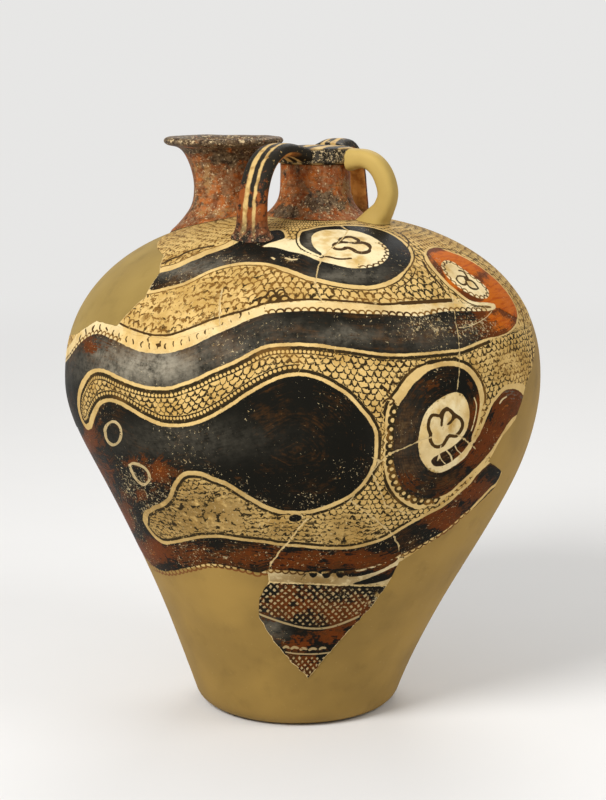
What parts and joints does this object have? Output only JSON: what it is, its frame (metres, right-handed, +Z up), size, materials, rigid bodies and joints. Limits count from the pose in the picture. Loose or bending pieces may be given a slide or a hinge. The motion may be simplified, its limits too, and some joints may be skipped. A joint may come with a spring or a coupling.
{
  "type": "stirrup jar",
  "caption": "Mended clay stirrup jar: round-shouldered body on a narrow flat foot, open side spout, closed false neck with a disc, and loop handles, for storing and pouring oil.",
  "frame": {"origin": "on the floor, under the axis of the belly", "axes": "+Z up, +X from the spout to the plain handle, so the strap handles lie along Y"},
  "size_m": [0.3514, 0.3514, 0.423],
  "materials": {
    "plaster": "satin",
    "dark_painted_clay": "satin",
    "red_painted_clay": "satin",
    "striped_clay": "satin"
  },
  "bodies": {
    "root": {"lower_body_fill": "plaster", "left_shoulder_fill": "plaster", "plain_handle": "plaster", "disc": "striped_clay", "front_strap_handle": "striped_clay", "rear_strap_handle": "striped_clay", "spout": "red_painted_clay", "false_neck": "red_painted_clay", "red_shoulder_sherd": "red_painted_clay", "left_shoulder_sherd": "dark_painted_clay", "front_shoulder_sherd": "dark_painted_clay", "right_shoulder_sherd": "dark_painted_clay", "back_right_shoulder_sherd": "dark_painted_clay", "back_shoulder_sherd": "dark_painted_clay", "left_belly_sherd": "dark_painted_clay", "eye_sherd": "dark_painted_clay", "front_belly_sherd": "dark_painted_clay", "bulb_sherd": "dark_painted_clay", "right_belly_sherd": "dark_painted_clay", "spiral_sherd": "dark_painted_clay", "lower_right_sherd": "dark_painted_clay", "lower_front_sherd": "dark_painted_clay", "triangular_sherd": "dark_painted_clay", "back_right_belly_sherd": "dark_painted_clay", "back_belly_sherd": "dark_painted_clay", "back_left_belly_sherd": "dark_painted_clay"}
  },
  "joints": []
}
